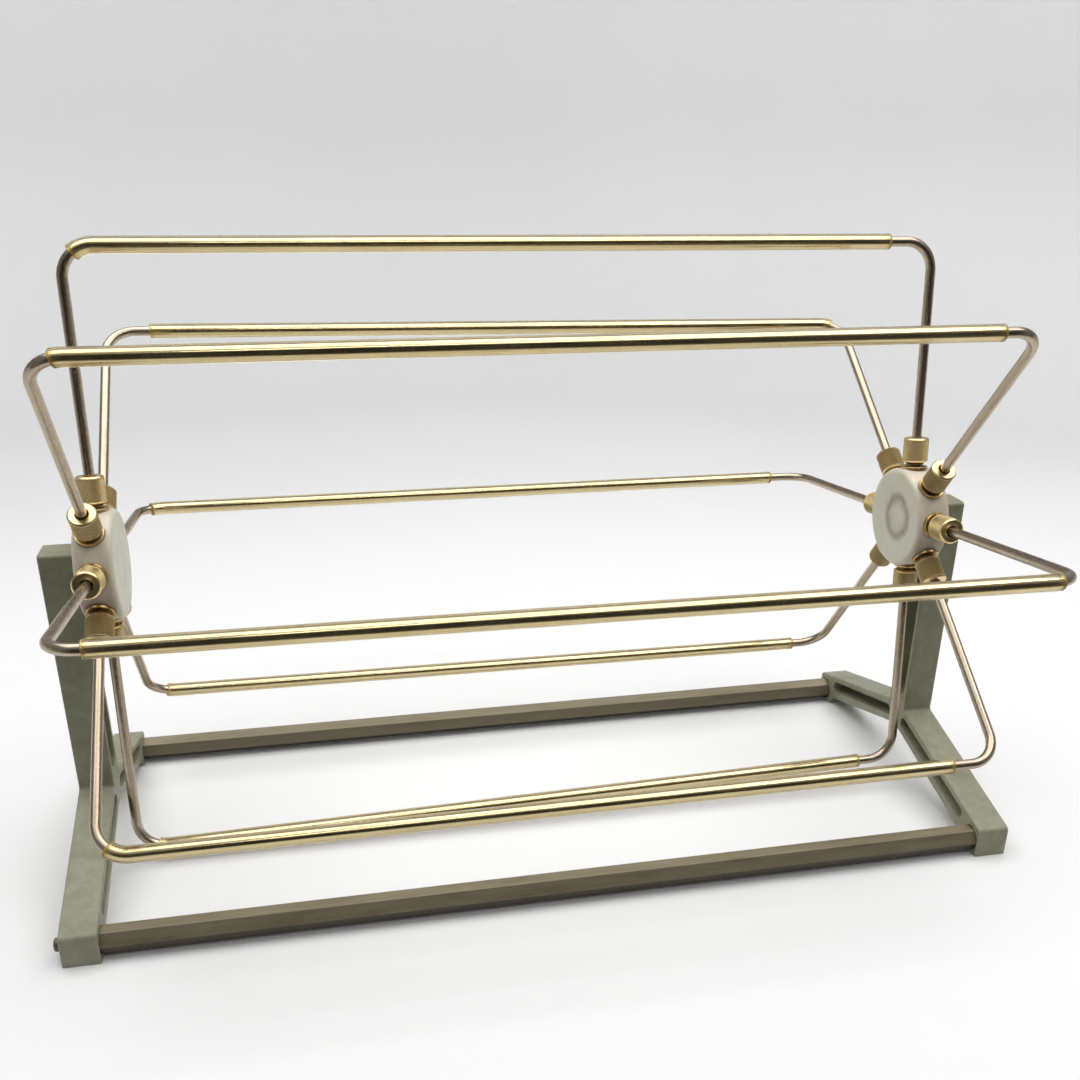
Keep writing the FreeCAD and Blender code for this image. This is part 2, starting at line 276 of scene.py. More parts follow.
def add_piece(name, mesh, material, body, node, seed, matrix=None):
    ob = bpy.data.objects.new(name, mesh)
    scene.collection.objects.link(ob)
    if not mesh.materials:
        mesh.materials.append(material)
    if matrix is not None:
        ob.matrix_world = matrix
    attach(ob, body)
    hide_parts(node)
    ob["piece_seed"] = seed
    return ob


def weight_normals(ob):
    ob.modifiers.new("normals", "WEIGHTED_NORMAL").keep_sharp = True


def arm_matrix(arm, x=0.0, spin=0.0):
    """Local +Z is the arm's direction from the reel axis; without spin, local X is along it."""
    angle = math.radians(REST_ANGLE + 45.0 * (arm - 1))
    return (Matrix.Translation((x * MM, 0, AXIS_H * MM)) @ Matrix.Rotation(angle, 4, "X")
            @ Matrix.Rotation(spin, 4, "Z"))


# ---------------------------------------------------------------- material helpers
class Nodes:
    """Short names for building the node tree of a material or world."""

    def __init__(self, owner):
        self.owner = owner
        owner.use_nodes = True
        self.tree = owner.node_tree
        self.tree.nodes.clear()

    def add(self, kind, inputs=None, **settings):
        node = self.tree.nodes.new("ShaderNode" + kind)
        for key, value in settings.items():
            setattr(node, key, value)
        for key, value in (inputs or {}).items():
            socket = node.inputs[key]
            if isinstance(value, bpy.types.NodeSocket):
                self.tree.links.new(value, socket)
            else:
                socket.default_value = (*value, 1.0) if socket.type == "RGBA" else value
        return node

    def surface(self, **values):
        """Finish a material; the values are inputs of the principled shader."""
        inputs = {key.replace("_", " "): value for key, value in values.items()}
        shader = self.add("BsdfPrincipled", inputs)
        self.add("OutputMaterial", {0: shader.outputs[0]})
        return self.owner

    def flow(self):
        return self.add("Attribute", attribute_name="flow").outputs["Vector"]

    def mask(self):
        return self.add("Attribute", attribute_name="mask").outputs["Fac"]

    def place(self):
        """flow moved by the piece's own seed, so that no two pieces carry the same marks."""
        seed = self.add("Attribute", attribute_type="OBJECT", attribute_name="piece_seed")
        shift = self.add("VectorMath", {0: (37.0, 91.0, 53.0), "Scale": seed.outputs["Fac"]},
                         operation="SCALE")
        both = {0: self.flow(), 1: shift.outputs[0]}
        return self.add("VectorMath", both, operation="ADD").outputs[0]

    def geometry(self, output):
        return self.add("NewGeometry").outputs[output]

    def eye(self):
        """Unit direction from the surface to the eye, in the piece's own axes."""
        return self.add("VectorTransform", {0: self.geometry("Incoming")}, vector_type="VECTOR",
                        convert_from="WORLD", convert_to="OBJECT").outputs[0]

    def split(self, vector):
        return self.add("SeparateXYZ", {0: vector}).outputs

    def noise(self, vector, freq=None, scale=1.0, detail=4, rough=0.5, warp=0.0):
        """Noise; freq scales the point first, as one number or one for each axis."""
        if freq is not None:
            freq = freq if isinstance(freq, tuple) else (freq,) * 3
            vector = self.add("VectorMath", {0: vector, 1: freq}, operation="MULTIPLY").outputs[0]
        return self.add("TexNoise", {"Vector": vector, "Scale": scale, "Detail": detail,
                                     "Roughness": rough, "Distortion": warp}).outputs["Fac"]

    def ramp(self, value, stops):
        """Colour from (position, colour) stops."""
        node = self.add("ValToRGB", {0: value})
        node.color_ramp.interpolation = "EASE"
        elements = node.color_ramp.elements
        while len(elements) < len(stops):
            elements.new(0.5)
        for element, (position, colour) in zip(elements, stops):
            element.position = position
            element.color = (*colour, 1.0)
        return node.outputs[0]

    def fade(self, value, over, to=(0.0, 1.0), curve="LINEAR"):
        """Carry the range over onto the range to, clamped."""
        return self.add("MapRange", {"Value": value, "From Min": over[0], "From Max": over[1],
                                     "To Min": to[0], "To Max": to[1]},
                        interpolation_type=curve).outputs[0]

    def math(self, operation, *values):
        return self.add("Math", dict(enumerate(values)), operation=operation).outputs[0]

    def plus(self, a, b):
        return self.math("ADD", a, b)

    def minus(self, a, b):
        return self.math("SUBTRACT", a, b)

    def times(self, a, b):
        return self.math("MULTIPLY", a, b)

    def length(self, a, b):
        return self.math("SQRT", self.plus(self.times(a, a), self.times(b, b)))

    def tint(self, base, colour, amount):
        """base moved towards colour by amount."""
        return self.add("Mix", {0: amount, 6: base, 7: colour}, data_type="RGBA").outputs[2]

    def bump(self, height, strength, distance, under=None):
        """Bump with its distance in metres, on top of the bump under."""
        inputs = {"Strength": strength, "Distance": distance, "Height": height}
        if under is not None:
            inputs["Normal"] = under
        return self.add("Bump", inputs).outputs[0]

    def edge(self, radius_mm):
        """About 1 on sharp edges and 0 on flats."""
        bevel = self.add("Bevel", {"Radius": radius_mm * MM}, samples=4)
        both = {0: bevel.outputs[0], 1: self.geometry("Normal")}
        match = self.add("VectorMath", both, operation="DOT_PRODUCT")
        return self.fade(match.outputs["Value"], over=(0.995, 0.86))


def new_material(name):
    return Nodes(bpy.data.materials.new(name))


# ---------------------------------------------------------------------- materials
def rod_nickel():
    """Dull nickel plating; mask is 1 under the tubing."""
    n = new_material("rod_nickel")
    place = n.place()
    fine = n.noise(place, freq=(6.0, 6.0, 0.06), detail=5, rough=0.6)
    broad = n.noise(place, freq=(0.30, 0.30, 0.022), rough=0.55, warp=0.4)
    patch = n.noise(place, freq=(0.45, 0.45, 0.12), detail=5, rough=0.62, warp=0.5)
    specks = n.noise(place, freq=(2.6, 2.6, 1.2), detail=3, rough=0.7)
    base = n.ramp(broad, [(0.30, (0.435, 0.352, 0.260)), (0.52, (0.505, 0.420, 0.318)),
                          (0.72, (0.565, 0.485, 0.382))])
    # brown patches, drawn lines, dark specks
    base = n.tint(base, (0.36, 0.28, 0.205), n.fade(patch, over=(0.52, 0.74), to=(0.0, 0.26)))
    base = n.tint(base, (0.32, 0.255, 0.20), n.fade(fine, over=(0.32, 0.62), to=(0.18, 0.0)))
    base = n.tint(base, (0.19, 0.14, 0.10), n.fade(specks, over=(0.70, 0.78), to=(0.0, 0.38)))
    # the plating under the tubing has stayed bright and clean
    kept = n.mask()
    bright = n.ramp(broad, [(0.30, (0.70, 0.625, 0.500)), (0.70, (0.79, 0.715, 0.590))])
    base = n.tint(base, bright, kept)
    wear = n.minus(1.0, n.times(kept, 0.85))
    rough = n.plus(n.fade(patch, over=(0.35, 0.75), to=(0.21, 0.32)),
                   n.fade(fine, over=(0.3, 0.7), to=(0.0, 0.06)))
    rough = n.plus(n.times(rough, wear), n.times(kept, 0.07))
    lines = n.bump(n.times(fine, wear), strength=0.20, distance=0.000015)
    return n.surface(Base_Color=base, Metallic=1.0, Roughness=rough, Normal=n.bump(
        n.times(specks, wear), strength=0.06, distance=0.00002, under=lines))


def sleeve_amber():
    """Clear amber tubing; mask rises to 1 at the cut ends."""
    n = new_material("sleeve_amber")
    place = n.place()
    end = n.mask()
    lengthwise = n.noise(place, freq=(1.2, 1.2, 0.012), detail=3)
    cloud = n.noise(place, freq=(0.35, 0.35, 0.05), rough=0.6, warp=0.3)
    specks = n.noise(place, freq=(2.0, 2.0, 0.8), detail=2, rough=0.6)
    base = n.ramp(cloud, [(0.30, (0.985, 0.885, 0.545)), (0.55, (0.990, 0.908, 0.615)),
                          (0.75, (0.970, 0.842, 0.470))])
    # brown specks, deeper amber at the ends
    base = n.tint(base, (0.62, 0.43, 0.17), n.fade(specks, over=(0.70, 0.78), to=(0.0, 0.35)))
    base = n.tint(base, (0.90, 0.62, 0.15), end)
    # the ends let less light through and are rougher
    clear = n.minus(n.fade(cloud, over=(0.40, 0.75), to=(0.985, 0.93)), n.times(end, 0.40))
    rough = n.plus(n.fade(cloud, over=(0.3, 0.75), to=(0.035, 0.095)), n.times(end, 0.12))
    drawn = n.bump(lengthwise, strength=0.05, distance=0.00003)
    return n.surface(Base_Color=base, Roughness=rough, IOR=1.48, Transmission_Weight=clear,
                     Normal=n.bump(specks, strength=0.03, distance=0.00002, under=drawn))


def nut_brass():
    """Brass with faint turning rings; mask is 1 in the knurl valleys and recesses, where it paints
    shade.
    """
    n = new_material("nut_brass")
    place = n.place()
    pit = n.mask()
    blot = n.noise(place, freq=0.22, detail=5, rough=0.6, warp=0.5)
    grain = n.noise(place, freq=2.5, rough=0.65)
    x, y = n.split(n.flow())[:2]
    rings = n.math("SINE", n.times(n.length(x, y), 38.0))  # radians per mm of radius
    base = n.ramp(blot, [(0.30, (0.85, 0.635, 0.300)), (0.50, (0.95, 0.755, 0.395)),
                         (0.72, (0.89, 0.715, 0.400))])
    # dull grain; painted shade in the pits, which are also rougher
    base = n.tint(base, (0.48, 0.37, 0.18), n.fade(grain, over=(0.50, 0.75), to=(0.0, 0.35)))
    base = n.tint(base, (0.160, 0.112, 0.042), n.times(pit, 0.90))
    rough = n.plus(n.fade(blot, over=(0.3, 0.7), to=(0.25, 0.36)), n.times(pit, 0.26))
    turned = n.bump(rings, strength=0.06, distance=0.000015)
    return n.surface(Base_Color=base, Metallic=1.0, Roughness=rough, Normal=n.bump(
        grain, strength=0.08, distance=0.00003, under=turned))


def clamp_brass():
    """Darker turned brass; mask is 1 in the recesses, where it paints grime and shade."""
    n = new_material("clamp_brass")
    place = n.place()
    grime_and_shade = n.mask()
    blot = n.noise(place, freq=0.35, detail=5, rough=0.6, warp=0.4)
    turned = n.noise(n.flow(), freq=(0.15, 0.15, 9.0), detail=3, rough=0.6)
    base = n.ramp(blot, [(0.30, (0.46, 0.310, 0.135)), (0.50, (0.68, 0.500, 0.245)),
                         (0.72, (0.44, 0.310, 0.155))])
    # grime and painted shade under the flange, at the neck, in the thread and in the bore
    base = n.tint(base, (0.075, 0.050, 0.026), n.times(grime_and_shade, 0.90))
    rough = n.plus(n.fade(blot, over=(0.3, 0.7), to=(0.20, 0.34)),
                   n.fade(turned, over=(0.3, 0.7), to=(0.0, 0.10)))
    return n.surface(Base_Color=base, Metallic=1.0, Roughness=rough,
                     Normal=n.bump(turned, strength=0.25, distance=0.00003))


def hub_nylon():
    """Milky plastic; flow is measured from the middle of the hub."""
    n = new_material("hub_nylon")
    place = n.place()
    x, y, z = n.split(n.flow())
    # the end of the axle bore shows through the milky plastic as a soft grey ring with a lighter
    # centre, so it lies a little deeper than the face and shifts with the eye
    ring_depth, refraction = 4.4, 1.5
    eye_x, eye_y, eye_z = n.split(n.eye())
    aside = n.plus(n.times(eye_y, eye_y), n.times(eye_z, eye_z))
    shift = n.math("DIVIDE", ring_depth, n.math("SQRT", n.minus(refraction ** 2, aside)))
    seen_y = n.minus(y, n.times(eye_y, shift))
    seen_z = n.minus(z, n.times(eye_z, shift))
    wobble = n.noise(place, freq=0.16, detail=3)
    seen = n.plus(n.length(seen_y, seen_z), n.fade(wobble, over=(0.3, 0.7), to=(-0.8, 0.8)))
    ring = n.times(n.fade(seen, over=(6.0, 9.6)), n.fade(seen, over=(10.6, 13.8), to=(1.0, 0.0)))
    thin = n.times(n.fade(seen, over=(4.6, 6.0)), n.fade(seen, over=(6.2, 8.2), to=(1.0, 0.0)))
    ring = n.math("MAXIMUM", ring, n.times(thin, 0.30))
    # it is faint from the side, and only on the two faces
    ring = n.times(ring, n.fade(n.math("ABSOLUTE", eye_x), over=(0.20, 0.42), to=(0.12, 1.0)))
    face = n.fade(n.math("ABSOLUTE", x), over=(6.6, 9.0))
    mottle = n.noise(place, freq=0.085, detail=5, rough=0.6, warp=0.9)
    veil = n.noise(place, freq=(0.20, 0.06, 0.06), detail=3, warp=0.4)
    cloud = n.noise(place, freq=0.26, rough=0.6, warp=0.5)
    grain = n.noise(place, freq=1.6, detail=3, rough=0.6)
    turned = n.noise(n.flow(), freq=(7.0, 0.05, 0.05), detail=2)
    base = n.ramp(mottle, [(0.28, (0.70, 0.600, 0.495)), (0.50, (0.80, 0.715, 0.610)),
                           (0.74, (0.74, 0.635, 0.525))])
    # greener faces, green veil, the dark ring, brown specks
    base = n.tint(base, (0.68, 0.675, 0.540), n.times(face, 0.75))
    base = n.tint(base, (0.57, 0.590, 0.455), n.fade(veil, over=(0.46, 0.70), to=(0.0, 0.50)))
    dark = n.times(n.times(ring, face), n.fade(cloud, over=(0.3, 0.7), to=(0.60, 1.0)))
    base = n.tint(base, (0.325, 0.270, 0.190), dark)
    base = n.tint(base, (0.50, 0.44, 0.36), n.fade(grain, over=(0.70, 0.80), to=(0.0, 0.30)))
    marks = n.bump(turned, strength=0.08, distance=0.00004)
    return n.surface(
        Base_Color=base, Roughness=n.fade(mottle, over=(0.3, 0.7), to=(0.30, 0.44)), IOR=1.52,
        Subsurface_Weight=0.75, Subsurface_Radius=(0.0042, 0.0035, 0.0027), Subsurface_Scale=1.0,
        Normal=n.bump(grain, strength=0.10, distance=0.00006, under=marks))


def stand_sage():
    """Dusty sage green plastic."""
    n = new_material("stand_sage")
    place = n.place()
    stain = n.noise(place, freq=0.060, detail=6, rough=0.62, warp=0.8)
    cloud = n.noise(place, freq=0.22, detail=5, rough=0.6, warp=0.2)
    speck = n.noise(place, freq=1.3, detail=3, rough=0.65)
    dust = n.noise(place, freq=(1.1, 0.5, 1.1), rough=0.7)
    skin = n.noise(place, freq=3.4, detail=2)
    edge = n.edge(radius_mm=0.9)
    base = n.ramp(stain, [(0.30, (0.250, 0.240, 0.160)), (0.46, (0.290, 0.293, 0.202)),
                          (0.62, (0.328, 0.332, 0.236)), (0.78, (0.372, 0.350, 0.254))])
    # dark clouds, dark specks, pale dust, pale worn edges
    base = n.tint(base, (0.235, 0.232, 0.160), n.fade(cloud, over=(0.50, 0.72), to=(0.0, 0.50)))
    base = n.tint(base, (0.15, 0.14, 0.095), n.fade(speck, over=(0.67, 0.75), to=(0.0, 0.50)))
    base = n.tint(base, (0.52, 0.50, 0.42), n.fade(dust, over=(0.60, 0.80), to=(0.0, 0.34)))
    base = n.tint(base, (0.52, 0.53, 0.43),
                  n.times(edge, n.fade(cloud, over=(0.35, 0.65), to=(0.12, 0.45))))
    rough = n.plus(n.fade(cloud, over=(0.3, 0.7), to=(0.36, 0.50)),
                   n.fade(dust, over=(0.55, 0.8), to=(0.0, 0.18)))
    moulded = n.bump(skin, strength=0.16, distance=0.00008)
    return n.surface(Base_Color=base, Roughness=rough, IOR=1.47, Normal=n.bump(
        speck, strength=0.10, distance=0.0001, under=moulded))


def bar_taupe():
    """Taupe bars with lengthwise streaks, and painted shade on the faces that turn down."""
    n = new_material("bar_taupe")
    place = n.place()
    streak = n.noise(place, freq=(0.018, 1.9, 1.9), detail=5, rough=0.6)
    patch = n.noise(place, freq=(0.035, 0.22, 0.22), detail=5, rough=0.62, warp=0.4)
    nick = n.noise(place, freq=(0.7, 1.6, 1.6), detail=3, rough=0.7)
    edge = n.edge(radius_mm=0.5)
    base = n.ramp(patch, [(0.30, (0.232, 0.192, 0.110)), (0.52, (0.290, 0.249, 0.154)),
                          (0.74, (0.328, 0.296, 0.198))])
    # painted shade: darker the more the surface faces down; then streaks, nicks and pale edges
    up = n.fade(n.split(n.geometry("True Normal"))[2], over=(-0.75, 0.90))
    base = n.tint(base, (0.036, 0.030, 0.015), n.fade(up, over=(0.0, 1.0), to=(1.0, 0.0)))
    base = n.tint(base, (0.15, 0.128, 0.088), n.fade(streak, over=(0.38, 0.62), to=(0.38, 0.0)))
    base = n.tint(base, (0.10, 0.085, 0.060), n.fade(nick, over=(0.70, 0.78), to=(0.0, 0.6)))
    base = n.tint(base, (0.50, 0.45, 0.37),
                  n.times(edge, n.fade(patch, over=(0.35, 0.65), to=(0.10, 0.45))))
    rough = n.plus(n.fade(patch, over=(0.3, 0.7), to=(0.30, 0.42)),
                   n.fade(streak, over=(0.3, 0.7), to=(0.10, 0.0)))
    drawn = n.bump(streak, strength=0.30, distance=0.00004)
    return n.surface(Base_Color=base, Metallic=0.20, Roughness=rough, Normal=n.bump(
        nick, strength=0.08, distance=0.0001, under=drawn))


def screw_dark_steel():
    """Dark steel; mask is 1 in recesses, where it paints grime and shade."""
    n = new_material("screw_dark_steel")
    place = n.place()
    blot = n.noise(place, freq=0.5, detail=5, rough=0.6)
    grain = n.noise(place, freq=4.0, detail=3, rough=0.6)
    base = n.ramp(blot, [(0.32, (0.10, 0.085, 0.07)), (0.52, (0.17, 0.15, 0.13)),
                         (0.72, (0.24, 0.19, 0.14))])
    # grime and painted shade in the recesses
    base = n.tint(base, (0.04, 0.033, 0.027), n.times(n.mask(), 0.7))
    return n.surface(Base_Color=base, Metallic=0.9,
                     Roughness=n.fade(grain, over=(0.3, 0.7), to=(0.32, 0.52)),
                     Normal=n.bump(grain, strength=0.15, distance=0.00004))


def pin_turned_steel():
    n = new_material("pin_turned_steel")
    place = n.place()
    turned = n.noise(n.flow(), freq=(0.25, 0.25, 8.0), detail=3, rough=0.6)
    blot = n.noise(place, freq=0.4, detail=5, rough=0.6)
    x, y = n.split(n.flow())[:2]
    rings = n.math("SINE", n.times(n.length(x, y), 30.0))  # radians per mm of radius
    base = n.ramp(blot, [(0.30, (0.46, 0.43, 0.39)), (0.55, (0.60, 0.57, 0.53)),
                         (0.75, (0.52, 0.46, 0.38))])
    ringed = n.bump(rings, strength=0.12, distance=0.00002)
    return n.surface(Base_Color=base, Metallic=1.0,
                     Roughness=n.fade(turned, over=(0.3, 0.7), to=(0.22, 0.36)),
                     Normal=n.bump(turned, strength=0.2, distance=0.00003, under=ringed))


def washer_nylon():
    n = new_material("washer_nylon")
    place = n.place()
    blot = n.noise(place, freq=0.3, rough=0.6)
    grain = n.noise(place, freq=3.0, detail=3, rough=0.6)
    base = n.ramp(blot, [(0.3, (0.70, 0.70, 0.65)), (0.7, (0.80, 0.79, 0.75))])
    return n.surface(Base_Color=base, Roughness=n.fade(grain, over=(0.3, 0.7), to=(0.35, 0.5)),
                     Subsurface_Weight=0.3, Subsurface_Radius=(0.002, 0.002, 0.0018),
                     Subsurface_Scale=1.0,
                     Normal=n.bump(grain, strength=0.12, distance=0.00004))


def ring_rubber():
    n = new_material("ring_rubber")
    grain = n.noise(n.place(), freq=3.0, rough=0.6)
    base = n.ramp(grain, [(0.3, (0.022, 0.020, 0.018)), (0.7, (0.045, 0.040, 0.036))])
    return n.surface(Base_Color=base, Roughness=n.fade(grain, over=(0.3, 0.7), to=(0.55, 0.75)),
                     Normal=n.bump(grain, strength=0.2, distance=0.00005))


def studio_paper():
    """Pale paper; the walls look as pale as the floor but return less light onto the reel."""
    n = new_material("studio_paper")
    position = n.geometry("Position")   # metres
    ray = n.add("LightPath").outputs
    soft = n.noise(position, scale=1.6)
    base = n.ramp(soft, [(0.3, (0.835, 0.840, 0.845)), (0.7, (0.862, 0.865, 0.868))])
    wall = n.fade(n.split(position)[2], over=(0.02, 0.35))
    indirect = n.minus(1.0, ray["Is Camera Ray"])
    _, y, z = n.split(position)
    # the floor, except far back, is paler to the camera
    near = n.times(n.fade(y, over=(0.22, 0.62), to=(1.0, 0.0)),
                   n.fade(z, over=(0.0, 0.08), to=(1.0, 0.0)))
    base = n.tint(base, (0.968, 0.971, 0.978), n.times(ray["Is Camera Ray"], near))
    base = n.tint(base, (0.27, 0.27, 0.275), n.times(wall, indirect))
    # the floor in front is nearly black to indirect rays, and from further back to diffuse ones
    ahead = n.times(n.fade(y, over=(-0.24, -0.29)), indirect)
    diffuse = n.times(n.fade(y, over=(-0.115, -0.17)), ray["Is Diffuse Ray"])
    base = n.tint(base, (0.035, 0.034, 0.033), n.math("MAXIMUM", ahead, diffuse))
    return n.surface(Base_Color=base, Roughness=0.62)


MATERIALS = {
    "rod": rod_nickel(), "sleeve": sleeve_amber(), "nut": nut_brass(), "clamp": clamp_brass(),
    "hub": hub_nylon(), "stand": stand_sage(), "bar": bar_taupe(), "screw": screw_dark_steel(),
    "pin": pin_turned_steel(), "washer": washer_nylon(), "ring": ring_rubber(),
    "paper": studio_paper()}


# ------------------------------------------------------------------ rods and tubes
class ArmPath:
    """Centre line of one arm in its own plane: (x, distance from the reel axis) by arc length."""

    def __init__(self, arm):
        left, right, *self.sleeve_x = ARMS[arm]
        corners = [np.array(p) for p in ((-LEG_PLANE, LEG_END_R), (-LEG_PLANE, left),
                                         (LEG_PLANE, right), (LEG_PLANE, LEG_END_R))]
        # (kind, a, b, length): a line's two ends, or an arc's centre and its start from there
        self.parts = []
        last = corners[0]
        for before, corner, after in zip(corners, corners[1:], corners[2:]):
            centre, start, end, sweep = round_corner(before, corner, after, BEND_R)
            self.parts.append(("line", last, start, np.linalg.norm(start - last)))
            self.parts.append(("arc", centre, start - centre, BEND_R * abs(sweep)))
            last = end
        self.parts.append(("line", last, corners[3], np.linalg.norm(corners[3] - last)))
        self.length = sum(part[3] for part in self.parts)

    def at(self, s):
        """Point and unit direction at arc length s."""
        for k, (kind, a, b, length) in enumerate(self.parts):
            if s <= length or k == len(self.parts) - 1:
                if kind == "line":
                    direction = (b - a) / length
                    return a + direction * s, direction
                angle = -s / BEND_R  # the arm turns from outwards towards +x
                c, q = math.cos(angle), math.sin(angle)
                spoke = np.array([b[0] * c - b[1] * q, b[0] * q + b[1] * c])
                return a + spoke, np.array([spoke[1], -spoke[0]]) / BEND_R
            s -= length

    def stations(self, s0, s1, straight, bend_deg):
        """Arc lengths between s0 and s1: sparse on straights, close together in bends."""
        out, base = [], 0.0
        for kind, _, _, length in self.parts:
            steps = length / straight if kind == "line" else math.degrees(length / BEND_R) / bend_deg
            steps = max(1, round(steps))
            out += [base + length * k / steps for k in range(steps)]
            base += length
        out.append(base)
        return [s0] + [s for s in out if s0 + 0.3 < s < s1 - 0.3] + [s1]

    def find_x(self, x):
        """Arc length where the span passes x."""
        lo, hi = self.parts[0][3], self.length - self.parts[4][3]
        for _ in range(60):
            mid = (lo + hi) / 2
            if self.at(mid)[0][0] < x:
                lo = mid
            else:
                hi = mid
        return (lo + hi) / 2

    def sleeve_ends(self):
        return [self.find_x(x) for x in self.sleeve_x]

    def ring(self, s, radii):
        """A ring of points round the centre line at s, and their straightened places."""
        (x, h), (dx, dh) = self.at(s)
        points, flow = [], []
        for k, radius in enumerate(radii):
            a = 2 * math.pi * k / len(radii)
            u, v = radius * math.cos(a), radius * math.sin(a)
            points.append((x + dh * u, v, h - dx * u))
            flow.append((u, v, s))
        return points, flow


def build_rod(arm):
    path, count, chamfer = ArmPath(arm), 28, 0.45
    t0, t1 = path.sleeve_ends()
    stops = path.stations(0.0, path.length, straight=16.0, bend_deg=5.0)
    # a close pair of rings at each end of the tubing keeps the mask's edge crisp
    stops = sorted([s for s in stops if min(abs(s - t) for t in (t0, t1)) > 1.2]
                   + [t0 - 0.5, t0 + 0.5, t1 - 0.5, t1 + 0.5])
    rows = ([(stops[0], ROD_R - chamfer), (stops[0] + chamfer, ROD_R)]
            + [(s, ROD_R) for s in stops[1:-1]]
            + [(stops[-1] - chamfer, ROD_R), (stops[-1], ROD_R - chamfer)])
    points, flow, mask = [], [], []
    for s, r in rows:
        ring, ring_flow = path.ring(s, [r] * count)
        points += ring
        flow += ring_flow
        mask += [1.0 if t0 < s < t1 else 0.0] * count
    faces = capped_faces(len(rows), count, flip=True)
    return make_mesh("rod_%d" % arm, points, faces, sharp_deg=35, flow=flow, mask=mask)


def build_sleeve(arm):
    """Soft tubing on the span, slightly uneven, with flared and slightly slanted ends."""
    path, count = ArmPath(arm), 36
    s0, s1 = path.sleeve_ends()
    end_steps = (0.22, 0.7, 1.5, 2.5)
    stops = [s for s in path.stations(s0, s1, straight=9.0, bend_deg=6.0)
             if s0 + 2.6 < s < s1 - 2.6]
    stops = [s0 + d for d in end_steps] + stops + [s1 - d for d in reversed(end_steps)]
    phase = 6.283 * spread(arm, 3)

    def outer(s, grow=0.0):
        flare = 0.10 * math.exp(-min(s - s0, s1 - s) / 1.4)
        wave = 0.030 * math.sin(s / 31.0 + phase) + 0.018 * math.sin(s / 13.7 + 2 * phase)
        return [SLEEVE_OUTER_R + flare + grow
                + wave * math.cos(2 * (2 * math.pi * k / count) + s / 60.0 + phase)
                for k in range(count)]

    rows = [(s0, outer(s0, -0.16))] + [(s, outer(s)) for s in stops] + [(s1, outer(s1, -0.16))]
    # back along the bore, which opens a little at the ends
    inside = [s for s in path.stations(s0, s1, straight=18.0, bend_deg=9.0)
              if s0 + 1 < s < s1 - 1]
    for s in [s1, s1 - 0.15] + inside[::-1] + [s0 + 0.15, s0]:
        rows.append((s, [SLEEVE_INNER_R + (0.22 if s in (s0, s1) else 0.0)] * count))

    slants = [(0.10 * (spread(arm, a) - 0.5), 0.12 * (spread(arm, b) - 0.5))
              for a, b in ((7, 8), (9, 11))]
    points, flow, mask = [], [], []
    for s, radii in rows:
        near0, near1 = max(0.0, 1 - (s - s0) / 3.0), max(0.0, 1 - (s1 - s) / 3.0)
        direction = path.at(s)[1]
        ring, ring_flow = path.ring(s, radii)
        for (x, y, h), (u, v, _) in zip(ring, ring_flow):
            lean0, lean1 = (a * u + b * v for a, b in slants)
            lean = lean0 * near0 - lean1 * near1
            points.append((x + direction[0] * lean, y, h + direction[1] * lean))
        flow += [(u, v, s) for u, v, _ in ring_flow]
        mask += [math.exp(-min(s - s0, s1 - s) / 1.1)] * count
    faces = grid_faces(len(rows), count, close_rows=True, flip=True)
    return make_mesh("tube_%d" % arm, points, faces, sharp_deg=50, flow=flow, mask=mask)


for arm in ARMS:
    for kind, part, build, seed in (("rod", "rod", build_rod, 1),
                                    ("tube", "sleeve", build_sleeve, 2)):
        add_piece("%s_%d" % (kind, arm), build(arm), MATERIALS[part], body="arm_%d" % arm,
                  node="arm_%d_%s" % (arm, part),
                  seed=round(spread(arm, seed), 4), matrix=arm_matrix(arm))


# ------------------------------------------- nuts, clamp bodies, grip rings
# They lie along local +Z: heights are distances from the reel axis.
NUT_R, NUT_0, NUT_1 = 6.35, 28.7, 41.1
NUT_BORE, NUT_MOUTH, NUT_SHOULDER = 4.65, 2.9, 38.6
KNURL_TEETH, KNURL_DEPTH, KNURL_ANGLE = 34, 0.34, 47
CLAMP_BORE = 2.43


